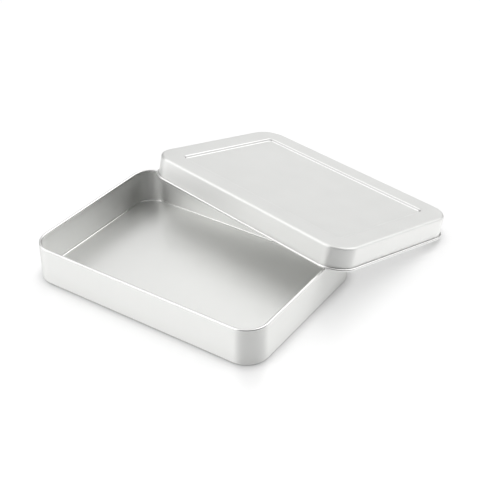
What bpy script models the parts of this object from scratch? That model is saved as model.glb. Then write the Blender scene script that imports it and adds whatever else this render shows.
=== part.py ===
"""Shallow rectangular tea tin in bare tinplate: an open tray and its loose slip lid.

The tray stands on its flat base. The lid lies askew across one end of it: its raised edge
rests on the tray's rolled rim at two places, and its opposite corner rests on the table.
Origin: middle of the tray's underside. +X along the tray's long side, +Z up. Metres.
"""
import math

import bmesh
import bpy
from mathutils import Matrix, Vector

MM = 0.001

# Tinplate sheet, and the curled edges that hide its cut ends
SHEET = 0.25 * MM
CURL_RADIUS = 0.7 * MM
CURL_PROUD = 0.04 * MM              # the curl swells this far past the face it is rolled from

# Tray, outside sizes
TRAY_LENGTH = 120.0 * MM
TRAY_WIDTH = 85.0 * MM
TRAY_HEIGHT = 18.3 * MM
TRAY_CORNER = 10.7 * MM
TRAY_FOOT = 0.8 * MM                # bend between the wall and the base

# Lid: it slips over the tray, so its plan follows the tray's
SLIP_CLEARANCE = 0.25 * MM
LID_GROWTH = SLIP_CLEARANCE + SHEET
LID_LENGTH = TRAY_LENGTH + 2 * LID_GROWTH
LID_WIDTH = TRAY_WIDTH + 2 * LID_GROWTH
LID_CORNER = TRAY_CORNER + LID_GROWTH
LID_HEIGHT = 10.9 * MM
LID_SHOULDER = 1.1 * MM             # bend between the skirt and the top

# Panel pressed down into the lid's top
PANEL_MARGIN = 10.2 * MM
PANEL_CORNER = 3.0 * MM
PANEL_DEPTH = 1.10 * MM
PANEL_LIP = 0.65 * MM               # bend at the panel's upper edge
PANEL_ROOT = 0.65 * MM              # bend at the panel's lower edge
PANEL_SLOPE = math.radians(50.0)    # steepness of the pressed step

# How the lid lies against the tray
LID_YAW = math.radians(-11.1)
LID_TILT_X = math.radians(-12.48)
LID_TILT_Y = math.radians(0.80)
LID_PLACE = Vector((15.45 * MM, 64.30 * MM, 10.11 * MM))

# Smoothness of the meshes
CORNER_STEPS = 12
BEND_STEPS = 4
CURL_RESOLUTION = 4
SMOOTH_ANGLE = math.radians(35.0)

TIN_COLOUR = (0.78, 0.78, 0.77, 1.0)
TIN_ROUGHNESS = 0.32


def clear_scene():
    for obj in list(bpy.data.objects):
        bpy.data.objects.remove(obj, do_unlink=True)


def make_collection(name):
    collection = bpy.data.collections.new(name)
    bpy.context.scene.collection.children.link(collection)
    return collection


def make_material(name, colour, roughness, metallic):
    material = bpy.data.materials.new(name)
    material.use_nodes = True
    shader = material.node_tree.nodes["Principled BSDF"]
    shader.inputs["Base Color"].default_value = colour
    shader.inputs["Roughness"].default_value = roughness
    shader.inputs["Metallic"].default_value = metallic
    return material


def rounded_ring(length, width, corner, height):
    """Points of a rounded rectangle at one height, anticlockwise from the +X end."""
    points = []
    for quarter in range(4):
        start = quarter * math.pi / 2
        side_x = 1 if quarter in (0, 3) else -1
        side_y = 1 if quarter in (0, 1) else -1
        centre_x = side_x * (length / 2 - corner)
        centre_y = side_y * (width / 2 - corner)
        for step in range(CORNER_STEPS + 1):
            angle = start + step / CORNER_STEPS * math.pi / 2
            x = centre_x + corner * math.cos(angle)
            y = centre_y + corner * math.sin(angle)
            points.append(Vector((x, y, height)))
    return points


def inset_ring(length, width, corner, inset, height):
    """Rounded rectangle moved inwards, with its corners kept concentric."""
    return rounded_ring(length - 2 * inset, width - 2 * inset, corner - inset, height)


def add_mesh_object(name, bm, collection):
    mesh = bpy.data.meshes.new(name)
    bm.to_mesh(mesh)
    bm.free()
    obj = bpy.data.objects.new(name, mesh)
    collection.objects.link(obj)
    return obj


def open_box(name, length, width, height, corner, bend, collection):
    """Box sheet standing on z = 0 with no top, its corners and its bottom edge rounded."""
    bm = bmesh.new()
    stretch = Matrix.Diagonal((length, width, height, 1.0))
    bmesh.ops.create_cube(bm, size=1.0, matrix=Matrix.Translation((0, 0, height / 2)) @ stretch)
    upright = [e for e in bm.edges if abs(e.verts[0].co.z - e.verts[1].co.z) > height / 2]
    bmesh.ops.bevel(
        bm, geom=upright, offset=corner, segments=CORNER_STEPS, profile=0.5, affect="EDGES")
    base_rim = [e for e in bm.edges if max(v.co.z for v in e.verts) < height / 2]
    bmesh.ops.bevel(
        bm, geom=base_rim, offset=bend, segments=BEND_STEPS, profile=0.5, affect="EDGES")
    top = [f for f in bm.faces if min(v.co.z for v in f.verts) > height * 0.99]
    bmesh.ops.delete(bm, geom=top, context="FACES_ONLY")
    return add_mesh_object(name, bm, collection)


def loft_shell(name, rings, collection):
    """Open sheet through a stack of rings: the first ring stays open, the last is filled."""
    bm = bmesh.new()
    loops = [[bm.verts.new(point) for point in ring] for ring in rings]
    count = len(rings[0])
    for lower, upper in zip(loops, loops[1:]):
        for i in range(count):
            j = (i + 1) % count
            bm.faces.new((lower[i], lower[j], upper[j], upper[i]))
    bm.faces.new(loops[-1])
    bmesh.ops.recalc_face_normals(bm, faces=bm.faces)
    return add_mesh_object(name, bm, collection)


def curled_edge(name, ring, collection):
    """Round tube along a closed ring, as a mesh that a Boolean can take."""
    curve = bpy.data.curves.new(name, "CURVE")
    curve.dimensions = "3D"
    curve.twist_mode = "Z_UP"
    curve.bevel_depth = CURL_RADIUS
    curve.bevel_resolution = CURL_RESOLUTION
    spline = curve.splines.new("POLY")
    spline.points.add(len(ring) - 1)
    for point, place in zip(spline.points, ring):
        point.co = (*place, 1.0)
    spline.use_cyclic_u = True
    path = bpy.data.objects.new(name + "_path", curve)
    collection.objects.link(path)
    bpy.context.view_layer.update()
    evaluated = path.evaluated_get(bpy.context.evaluated_depsgraph_get())
    mesh = bpy.data.meshes.new_from_object(evaluated)
    bm = bmesh.new()
    bm.from_mesh(mesh)
    bmesh.ops.remove_doubles(bm, verts=bm.verts, dist=0.001 * MM)
    bmesh.ops.recalc_face_normals(bm, faces=bm.faces)
    bm.to_mesh(mesh)
    bm.free()
    mesh.name = name
    bpy.data.objects.remove(path, do_unlink=True)
    tube = bpy.data.objects.new(name, mesh)
    tube.hide_render = True
    tube.display_type = "WIRE"
    collection.objects.link(tube)
    return tube


def finish_shell(obj, curl, material):
    """Give the sheet its thickness on the inside, join its curled edge and shade it."""
    obj.data.materials.append(material)
    curl.data.materials.clear()
    curl.data.materials.append(material)
    thickness = obj.modifiers.new("sheet_thickness", "SOLIDIFY")
    thickness.thickness = SHEET
    thickness.offset = -1.0
    thickness.use_even_offset = True
    union = obj.modifiers.new("curled_edge", "BOOLEAN")
    union.operation = "UNION"
    union.solver = "EXACT"
    union.object = curl
    obj.data.shade_smooth()
    obj.data.set_sharp_from_angle(angle=SMOOTH_ANGLE)


def build_tray(parts, tools, material):
    """Straight-walled tray whose rim is curled inwards."""
    wall_top = TRAY_HEIGHT - CURL_RADIUS
    tray = open_box(
        "tin_tray", TRAY_LENGTH, TRAY_WIDTH, wall_top, TRAY_CORNER, TRAY_FOOT, parts)
    curl_inset = CURL_RADIUS - CURL_PROUD
    curl_path = inset_ring(TRAY_LENGTH, TRAY_WIDTH, TRAY_CORNER, curl_inset, wall_top)
    finish_shell(tray, curled_edge("tray_curl", curl_path, tools), material)
    return tray


def lid_rings():
    """Rings of the lid from the skirt's lower end to the pressed panel's floor."""
    size = (LID_LENGTH, LID_WIDTH, LID_CORNER)
    rings = [inset_ring(*size, 0.0, CURL_RADIUS)]
    for step in range(BEND_STEPS + 1):
        angle = step / BEND_STEPS * math.pi / 2
        inset = LID_SHOULDER * (1 - math.cos(angle))
        rings.append(inset_ring(*size, inset, LID_HEIGHT - LID_SHOULDER * (1 - math.sin(angle))))
    panel = (LID_LENGTH - 2 * PANEL_MARGIN, LID_WIDTH - 2 * PANEL_MARGIN, PANEL_CORNER)
    for step in range(BEND_STEPS + 1):
        angle = step / BEND_STEPS * PANEL_SLOPE
        drop = PANEL_LIP * (1 - math.cos(angle))
        rings.append(inset_ring(*panel, PANEL_LIP * math.sin(angle), LID_HEIGHT - drop))
    bends_drop = (PANEL_LIP + PANEL_ROOT) * (1 - math.cos(PANEL_SLOPE))
    slope_run = (PANEL_DEPTH - bends_drop) / math.tan(PANEL_SLOPE)
    floor_inset = (PANEL_LIP + PANEL_ROOT) * math.sin(PANEL_SLOPE) + slope_run
    for step in range(BEND_STEPS + 1):
        angle = (1 - step / BEND_STEPS) * PANEL_SLOPE
        rise = PANEL_ROOT * (1 - math.cos(angle))
        inset = floor_inset - PANEL_ROOT * math.sin(angle)
        rings.append(inset_ring(*panel, inset, LID_HEIGHT - PANEL_DEPTH + rise))
    return rings


def build_lid(parts, tools, material):
    """Slip lid with a rounded shoulder, a pressed panel and a bead rolled outwards."""
    lid = loft_shell("tin_lid", lid_rings(), parts)
    bead_inset = SHEET - CURL_RADIUS + CURL_PROUD
    bead_path = inset_ring(LID_LENGTH, LID_WIDTH, LID_CORNER, bead_inset, CURL_RADIUS)
    bead = curled_edge("lid_bead", bead_path, tools)
    finish_shell(lid, bead, material)
    lid.rotation_euler = (LID_TILT_X, LID_TILT_Y, LID_YAW)
    lid.location = LID_PLACE
    bead.parent = lid
    return lid


def main():
    clear_scene()
    parts = make_collection("tea_tin")
    tools = make_collection("cutters")
    build_tray(parts, tools, make_material("tray_tinplate", TIN_COLOUR, TIN_ROUGHNESS, 1.0))
    build_lid(parts, tools, make_material("lid_tinplate", TIN_COLOUR, TIN_ROUGHNESS, 1.0))
    bpy.context.view_layer.update()


main()
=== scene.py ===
"""Looks of the tea tin: a satin tinplate tray and its slip lid, in a plain white studio."""
import math

import bmesh
import bpy
from mathutils import Euler, Matrix, Vector


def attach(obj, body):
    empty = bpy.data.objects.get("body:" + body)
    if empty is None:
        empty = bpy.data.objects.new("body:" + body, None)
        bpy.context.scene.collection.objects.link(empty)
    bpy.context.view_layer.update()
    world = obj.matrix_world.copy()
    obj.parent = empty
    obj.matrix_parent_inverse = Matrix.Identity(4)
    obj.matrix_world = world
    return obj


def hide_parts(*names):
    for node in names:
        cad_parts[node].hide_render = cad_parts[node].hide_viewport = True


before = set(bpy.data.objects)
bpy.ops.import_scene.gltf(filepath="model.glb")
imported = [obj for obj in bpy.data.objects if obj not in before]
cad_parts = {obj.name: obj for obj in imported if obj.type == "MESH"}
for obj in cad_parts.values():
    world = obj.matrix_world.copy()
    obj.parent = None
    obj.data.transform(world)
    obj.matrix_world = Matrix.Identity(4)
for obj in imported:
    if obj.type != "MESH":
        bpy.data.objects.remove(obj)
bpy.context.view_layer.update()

MM = 0.001

# Sizes of the tin, metres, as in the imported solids; only the rolls are slimmer, and flush with the walls
SHEET = 0.25 * MM
ROLL_RADIUS = 0.66 * MM
TRAY_LENGTH = 120.0 * MM
TRAY_WIDTH = 85.0 * MM
TRAY_HEIGHT = 18.3 * MM
TRAY_CORNER = 10.7 * MM
TRAY_FOOT = 0.8 * MM
LID_GROWTH = 0.5 * MM
LID_LENGTH = TRAY_LENGTH + 2 * LID_GROWTH
LID_WIDTH = TRAY_WIDTH + 2 * LID_GROWTH
LID_CORNER = TRAY_CORNER + LID_GROWTH
LID_HEIGHT = 10.9 * MM
LID_SHOULDER = 1.1 * MM
PANEL_MARGIN = 10.2 * MM
PANEL_CORNER = 3.0 * MM
PANEL_DEPTH = 1.10 * MM
PANEL_LIP = 0.65 * MM
PANEL_ROOT = 0.65 * MM
PANEL_SLOPE = 50.0                  # degrees
LID_TILT = Euler((math.radians(-12.48), math.radians(0.80), math.radians(-11.1)))
LID_PLACE = Vector((15.45 * MM, 64.30 * MM, 10.11 * MM))

# Free ends of the rolled edges, degrees: the sheet stops just clear of the wall it curls back to
RIM_END = -112.0
BEAD_END = 115.0

# Fineness of the meshes
CORNER_STEPS = 40
BEND_STEPS = 8
ROLL_STEPS = 28

# Camera, from the photograph: where it aims on the table, and how it stands to that point
CAMERA_AIM = Vector((1.7 * MM, 34.8 * MM, 0.0))
CAMERA_AZIMUTH = math.radians(33.68)
CAMERA_ELEVATION = math.radians(33.55)
CAMERA_DISTANCE = 502.4 * MM
CAMERA_LENS = 78.67                 # on a 36 mm sensor

# Studio light: where each light box hangs, as degrees turned anticlockwise from the camera's side and
# degrees above the table, then the angles from its middle where it ends and where it is full, and its light
LIGHT_BOXES = (
    ((0.0, 90.0), (90.0, 64.5), 0.53),
    ((0.0, 90.0), (40.0, 10.0), 0.10),
    ((180.0, 60.0), (34.0, 9.0), 0.58),
    ((-120.0, 60.0), (30.0, 8.0), 0.37),
    ((120.0, 60.0), (30.0, 8.0), 0.40),
    ((50.0, 55.0), (30.0, 8.0), 0.30),
    ((-50.0, 60.0), (30.0, 8.0), 0.14),
    ((-50.0, 32.0), (30.0, 8.0), 1.88),
    ((-95.0, 22.0), (30.0, 8.0), 1.25),
    ((-145.0, 30.0), (30.0, 8.0), 0.30),
    ((175.0, 4.0), (22.0, 6.0), 0.60),
    ((132.0, 20.0), (24.0, 7.0), 0.70),
    ((111.0, 47.0), (34.0, 9.0), 1.30),
    ((95.0, 6.0), (22.0, 7.0), 0.50),
)
# The studio's dark side, toward the camera: its direction, its reach and the little light left in it
DARK_SIDE = (22.0, -4.0)
DARK_SIDE_SPREAD = (80.7, 60.0)
DARK_SIDE_LIGHT = 0.18

# White table, half glossy and glowing with light of its own; the glow is dimmed near the tin as painted
# contact shadow
TABLE_COLOUR = (0.60, 0.60, 0.60, 1.0)
TABLE_GLOSS = 0.5
TABLE_ROUGHNESS = 0.4
TABLE_GLOW = 0.48
# Painted contact shadow: the reach of the occlusion test that dims the table's glow
PAINTED_SHADOW_REACH = 5.0 * MM           # how far from the tin the table's glow is dimmed

FLOOR_RADIUS = 6.0
FLOOR_SIDES = 96
FLOOR_DROP = 0.05 * MM

# Order in which a piece takes its materials: its walls, its rolled edges, its flat base or top,
# and for the lid the two bends of the recess and the slope between them
WALL, ROLLED, FLAT, BENDS, SLOPE = range(5)

# Tinplate
TRAY_COLOUR = (0.805, 0.808, 0.793)
LID_COLOUR = (0.860, 0.863, 0.848)
# Painted shade: the lid's flat top, margin and recessed panel alike, takes a darker copy of the tinplate
# than its skirt
LID_TOP_PAINTED_SHADE_COLOUR = (0.825, 0.828, 0.814)
# Painted highlight: the recess's two bends take a much lighter copy of the tinplate, to brighten their lines
BEND_PAINTED_HIGHLIGHT_COLOUR = (0.96, 0.96, 0.95)
# Painted shade: the recess's slope takes a darker copy of the tinplate, dark between the two bright bends
SLOPE_PAINTED_SHADE_COLOUR = (0.66, 0.66, 0.65)
# Painted shade: the rolled edges take a darker tone to dim their highlights; on the lid's bead it is darker
# than the lid's own tinplate
ROLLED_PAINTED_SHADE_COLOUR = (0.80, 0.80, 0.79)
SATIN_ROUGHNESS = 0.45
BEND_ROUGHNESS = 0.35
ROLLED_ROUGHNESS = 0.20
SATIN_STRETCH = 0.85                # how far the rolling grain stretches reflections across it
BASE_STRETCH = 0.50
ACROSS_GRAIN = Vector((0.0, 0.03, 1.0))
ROUGHNESS_SWING = 0.03
TONE_SWING = 0.015
GRAIN_SCALE = (60.0, 2600.0, 2600.0)
MOTTLE_SCALE = 90.0
WAVE_SCALE = 22.0
WAVE_STRENGTH = 0.25
WAVE_HEIGHT = 0.25 * MM
GRAIN_STRENGTH = 0.10
GRAIN_HEIGHT = 0.02 * MM


# ---------------------------------------------------------------- shapes

def rounded_ring(length, width, corner, inset, height):
    """Points of a rounded rectangle moved inwards by inset, anticlockwise from above."""
    radius = max(corner - inset, 0.05 * MM)
    points = []
    for quarter in range(4):
        side_x = 1 if quarter in (0, 3) else -1
        side_y = 1 if quarter in (0, 1) else -1
        centre_x = side_x * (length / 2 - inset - radius)
        centre_y = side_y * (width / 2 - inset - radius)
        for step in range(CORNER_STEPS + 1):
            angle = (quarter + step / CORNER_STEPS) * math.pi / 2
            x = centre_x + radius * math.cos(angle)
            y = centre_y + radius * math.sin(angle)
            points.append(Vector((x, y, height)))
    return points


def arc(inset, height, radius, start, end, steps):
    """Profile points on an arc: angle 0 points inwards and 90 up, in degrees."""
    points = []
    for step in range(steps + 1):
        angle = math.radians(start + (end - start) * step / steps)
        points.append((inset + radius * math.cos(angle), height + radius * math.sin(angle)))
    return points


def sheet_piece(name, rings, finishes, materials):
    """Metal sheet lofted through rings and filled at the last one, thickened behind its face.

    finishes has the material's number for each band between two rings, and last for the filled face."""
    bm = bmesh.new()
    loops = [[bm.verts.new(point) for point in ring] for ring in rings]
    count = len(rings[0])
    for index, (a, b) in enumerate(zip(loops, loops[1:])):
        for i in range(count):
            j = (i + 1) % count
            face = bm.faces.new((a[i], b[i], b[j], a[j]))
            face.material_index = finishes[index]
    base = bm.faces.new(reversed(loops[-1]))
    base.material_index = finishes[-1]
    mesh = bpy.data.meshes.new(name)
    bm.to_mesh(mesh)
    bm.free()
    for material in materials:
        mesh.materials.append(material)
    mesh.shade_smooth()
    piece = bpy.data.objects.new(name, mesh)
    bpy.context.scene.collection.objects.link(piece)
    thickness = piece.modifiers.new("sheet", "SOLIDIFY")
    thickness.thickness = SHEET
    thickness.offset = -1.0
    thickness.use_even_offset = True
    normals = piece.modifiers.new("flat_faces_stay_flat", "WEIGHTED_NORMAL")
    normals.keep_sharp = True
    return piece


def build_tray(materials):
    """Outer face from the roll's free end inside, over the rim and down round the foot."""
    centre = TRAY_HEIGHT - ROLL_RADIUS
    roll = arc(ROLL_RADIUS, centre, ROLL_RADIUS, RIM_END, 180, ROLL_STEPS)
    foot = arc(TRAY_FOOT, TRAY_FOOT, TRAY_FOOT, 180, 270, BEND_STEPS)
    size = (TRAY_LENGTH, TRAY_WIDTH, TRAY_CORNER)
    rings = [rounded_ring(*size, *point) for point in roll + foot]
    finishes = [ROLLED] * ROLL_STEPS + [WALL] + [ROLLED] * BEND_STEPS + [FLAT]
    tray = sheet_piece("tray", rings, finishes, materials)
    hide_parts("tin_tray")
    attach(tray, "root")
    return tray


def lid_skirt():
    """Inner face of the lid from the bead's free end outside to the top of the shoulder."""
    centre = SHEET - ROLL_RADIUS
    bead = arc(centre, ROLL_RADIUS, ROLL_RADIUS, BEAD_END, -180, ROLL_STEPS)
    bead = [(2 * centre - inset, height) for inset, height in bead]
    shoulder_radius = LID_SHOULDER - SHEET
    shoulder = arc(LID_SHOULDER, LID_HEIGHT - LID_SHOULDER, shoulder_radius, 180, 90, BEND_STEPS)
    size = (LID_LENGTH, LID_WIDTH, LID_CORNER)
    return [rounded_ring(*size, *point) for point in bead + shoulder]


def lid_panel():
    """Inner face of the recessed panel: over its lip, down the slope and out onto its floor."""
    slope = math.radians(PANEL_SLOPE)
    bends_drop = (PANEL_LIP + PANEL_ROOT) * (1 - math.cos(slope))
    bends_run = (PANEL_LIP + PANEL_ROOT) * math.sin(slope)
    root_inset = bends_run + (PANEL_DEPTH - bends_drop) / math.tan(slope)
    root_height = LID_HEIGHT - PANEL_DEPTH + PANEL_ROOT
    lip_height = LID_HEIGHT - PANEL_LIP
    lip = arc(0.0, lip_height, PANEL_LIP - SHEET, 90, 90 - PANEL_SLOPE, BEND_STEPS)
    root = arc(root_inset, root_height, PANEL_ROOT + SHEET, 270 - PANEL_SLOPE, 270, BEND_STEPS)
    size = (LID_LENGTH - 2 * PANEL_MARGIN, LID_WIDTH - 2 * PANEL_MARGIN, PANEL_CORNER)
    return [rounded_ring(*size, *point) for point in lip + root]


def build_lid(materials):
    rings = lid_skirt() + lid_panel()
    finishes = [ROLLED] * ROLL_STEPS + [WALL] * (1 + BEND_STEPS) + [FLAT]
    finishes += [BENDS] * BEND_STEPS + [SLOPE] + [BENDS] * BEND_STEPS + [FLAT]
    lid = sheet_piece("lid", rings, finishes, materials)
    lid.data.transform(Matrix.Translation(LID_PLACE) @ LID_TILT.to_matrix().to_4x4())
    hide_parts("tin_lid")
    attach(lid, "root")
    return lid


# ---------------------------------------------------------------- materials

def add_node(material, kind, values=(), wires=()):
    """New node with its input values set and its inputs wired to other nodes' outputs."""
    node = material.node_tree.nodes.new(kind)
    for name, value in values:
        node.inputs[name].default_value = value
    for name, output in wires:
        material.node_tree.links.new(output, node.inputs[name])
    return node


def tinplate(name, roughness, colour, stretch, place=Vector(), tilt=Euler()):
    """Satin tinplate: rolling grain, faint mottle and a trace of waviness in the sheet.

    The grain lies level round the walls, so reflections stretch up and down them."""
    material = bpy.data.materials.new(name)
    material.use_nodes = True
    wire = material.node_tree.links.new
    shader = material.node_tree.nodes["Principled BSDF"]
    shader.inputs["Metallic"].default_value = 1.0
    here = add_node(material, "ShaderNodeTexCoord").outputs["Object"]
    sheet = add_node(material, "ShaderNodeMapping", wires=[("Vector", here)])
    sheet.vector_type = "TEXTURE"
    sheet.inputs["Location"].default_value = place
    sheet.inputs["Rotation"].default_value = tilt
    sheet = sheet.outputs["Vector"]

    streaks = add_node(material, "ShaderNodeMapping", wires=[("Vector", sheet)])
    streaks.inputs["Scale"].default_value = GRAIN_SCALE
    grain = add_node(
        material, "ShaderNodeTexNoise",
        values=[("Scale", 1.0), ("Detail", 3.0)], wires=[("Vector", streaks.outputs["Vector"])])
    mottle = add_node(
        material, "ShaderNodeTexNoise",
        values=[("Scale", MOTTLE_SCALE), ("Detail", 4.0)], wires=[("Vector", sheet)])
    wave = add_node(
        material, "ShaderNodeTexNoise",
        values=[("Scale", WAVE_SCALE), ("Detail", 1.0)], wires=[("Vector", sheet)])

    rough = add_node(
        material, "ShaderNodeMapRange",
        values=[("To Min", roughness - ROUGHNESS_SWING), ("To Max", roughness + ROUGHNESS_SWING)],
        wires=[("Value", mottle.outputs["Fac"])])
    wire(rough.outputs["Result"], shader.inputs["Roughness"])

    tone = add_node(material, "ShaderNodeMix", wires=[("Factor", mottle.outputs["Fac"])])
    tone.data_type = "RGBA"
    tone.inputs["A"].default_value = (*(c * (1 - TONE_SWING) for c in colour), 1.0)
    tone.inputs["B"].default_value = (*(c * (1 + TONE_SWING) for c in colour), 1.0)
    wire(tone.outputs["Result"], shader.inputs["Base Color"])

    sheet_wave = add_node(
        material, "ShaderNodeBump",
        values=[("Strength", WAVE_STRENGTH), ("Distance", WAVE_HEIGHT)],
        wires=[("Height", wave.outputs["Fac"])])
    fine_grain = add_node(
        material, "ShaderNodeBump",
        values=[("Strength", GRAIN_STRENGTH), ("Distance", GRAIN_HEIGHT)],
        wires=[("Height", grain.outputs["Fac"]), ("Normal", sheet_wave.outputs["Normal"])])
    wire(fine_grain.outputs["Normal"], shader.inputs["Normal"])

    across = tilt.to_matrix() @ ACROSS_GRAIN
    across_grain = add_node(material, "ShaderNodeCombineXYZ", values=zip("XYZ", across))
    shader.inputs["Anisotropic"].default_value = stretch
    wire(across_grain.outputs["Vector"], shader.inputs["Tangent"])
    return material


# ---------------------------------------------------------------- studio

def build_floor():
    """White acrylic table, half glowing and half glossy, its glow dimmed where the tin is close as painted
    contact shadow.
    """
    bm = bmesh.new()
    bmesh.ops.create_circle(bm, cap_ends=True, segments=FLOOR_SIDES, radius=FLOOR_RADIUS)
    mesh = bpy.data.meshes.new("studio_floor")
    bm.to_mesh(mesh)
    bm.free()
    floor = bpy.data.objects.new("studio_floor", mesh)
    floor.location.z = -FLOOR_DROP
    bpy.context.scene.collection.objects.link(floor)
    material = bpy.data.materials.new("studio_floor")
    material.use_nodes = True
    shader = material.node_tree.nodes["Principled BSDF"]
    shader.inputs["Base Color"].default_value = TABLE_COLOUR
    shader.inputs["Metallic"].default_value = TABLE_GLOSS
    shader.inputs["Roughness"].default_value = TABLE_ROUGHNESS
    # Painted contact shadow: an occlusion test dims the table's glow close to the tin
    painted_contact_shadow = add_node(material, "ShaderNodeAmbientOcclusion", values=[("Distance", PAINTED_SHADOW_REACH)])
    painted_contact_shadow.samples = 8
    material.node_tree.links.new(painted_contact_shadow.outputs["Color"], shader.inputs["Emission Color"])
    shader.inputs["Emission Strength"].default_value = TABLE_GLOW
    shader.inputs["Specular IOR Level"].default_value = 0.0
    mesh.materials.append(material)


def studio_direction(turn, elevation):
    """Unit vector turned anticlockwise, seen from above, from the camera's side of the tin."""
    azimuth = CAMERA_AZIMUTH - math.pi / 2 + math.radians(turn)
    rise = math.radians(elevation)
    return Vector((
        math.cos(azimuth) * math.cos(rise),
        math.sin(azimuth) * math.cos(rise),
        math.sin(rise),
    ))


def soft_patch(world, place, direction, spread, value_outside, value_inside):
    """Value across the sky that turns softly from one to the other near a direction."""
    toward = add_node(world, "ShaderNodeVectorMath")
    toward.operation = "DOT_PRODUCT"
    toward.inputs[1].default_value = studio_direction(*direction)
    world.node_tree.links.new(place, toward.inputs[0])
    edge, core = (math.cos(math.radians(angle)) for angle in spread)
    patch = add_node(
        world, "ShaderNodeMapRange",
        values=[("From Min", edge), ("From Max", core), ("To Min", value_outside), ("To Max", value_inside)],
        wires=[("Value", toward.outputs["Value"])])
    patch.interpolation_type = "SMOOTHSTEP"
    return patch.outputs["Result"]


def combine(world, operation, first, second):
    node = add_node(world, "ShaderNodeMath")
    node.operation = operation
    world.node_tree.links.new(first, node.inputs[0])
    world.node_tree.links.new(second, node.inputs[1])
    return node.outputs["Value"]


def build_world():
    """Light boxes round the tin, dark toward the camera."""
    world = bpy.data.worlds.new("studio")
    bpy.context.scene.world = world
    world.use_nodes = True
    background = world.node_tree.nodes["Background"]
    place = add_node(world, "ShaderNodeTexCoord").outputs["Generated"]
    light = soft_patch(world, place, *LIGHT_BOXES[0][:2], 0.0, LIGHT_BOXES[0][2])
    for direction, spread, strength in LIGHT_BOXES[1:]:
        box = soft_patch(world, place, direction, spread, 0.0, strength)
        light = combine(world, "ADD", light, box)
    dark_side = soft_patch(world, place, DARK_SIDE, DARK_SIDE_SPREAD, 1.0, 0.0)
    light = combine(world, "MULTIPLY", light, dark_side)
    fill = soft_patch(world, place, DARK_SIDE, DARK_SIDE_SPREAD, 0.0, DARK_SIDE_LIGHT)
    light = combine(world, "ADD", light, fill)
    world.node_tree.links.new(light, background.inputs["Strength"])
    background.inputs["Color"].default_value = (1.0, 1.0, 1.0, 1.0)


def build_camera():
    camera = bpy.data.objects.new("camera", bpy.data.cameras.new("camera"))
    bpy.context.scene.collection.objects.link(camera)
    camera.data.sensor_width = 36.0
    camera.data.lens = CAMERA_LENS
    camera.data.clip_start = 0.01
    back = Vector((
        math.sin(CAMERA_AZIMUTH) * math.cos(CAMERA_ELEVATION),
        -math.cos(CAMERA_AZIMUTH) * math.cos(CAMERA_ELEVATION),
        math.sin(CAMERA_ELEVATION),
    ))
    camera.location = CAMERA_AIM + CAMERA_DISTANCE * back
    camera.rotation_euler = (-back).to_track_quat("-Z", "Y").to_euler()
    bpy.context.scene.camera = camera


def main():
    bpy.context.scene.view_settings.view_transform = "Standard"
    build_camera()
    build_tray((
        tinplate("tray_satin", SATIN_ROUGHNESS, TRAY_COLOUR, SATIN_STRETCH),
        tinplate("tray_rolled_rim", ROLLED_ROUGHNESS, ROLLED_PAINTED_SHADE_COLOUR, 0.0),
        # Painted light: the tray's inner floor takes the lid's lighter tone, lighter than the tray's own
        # walls
        tinplate("tray_base_painted_light", SATIN_ROUGHNESS, LID_COLOUR, BASE_STRETCH),
    ))
    build_lid((
        tinplate("lid_satin", SATIN_ROUGHNESS, LID_COLOUR, SATIN_STRETCH, LID_PLACE, LID_TILT),
        tinplate("lid_rolled_bead_painted_shade", ROLLED_ROUGHNESS, ROLLED_PAINTED_SHADE_COLOUR, 0.0, LID_PLACE, LID_TILT),
        tinplate("lid_top_painted_shade", SATIN_ROUGHNESS, LID_TOP_PAINTED_SHADE_COLOUR, SATIN_STRETCH, LID_PLACE, LID_TILT),
        # Painted highlight on the recess's bends and painted shade on its slope, both copies of the lid's
        # tinplate
        tinplate("lid_bends_painted_highlight", BEND_ROUGHNESS, BEND_PAINTED_HIGHLIGHT_COLOUR, SATIN_STRETCH, LID_PLACE, LID_TILT),
        tinplate("lid_slope_painted_shade", SATIN_ROUGHNESS, SLOPE_PAINTED_SHADE_COLOUR, SATIN_STRETCH, LID_PLACE, LID_TILT),
    ))
    build_floor()
    build_world()


main()
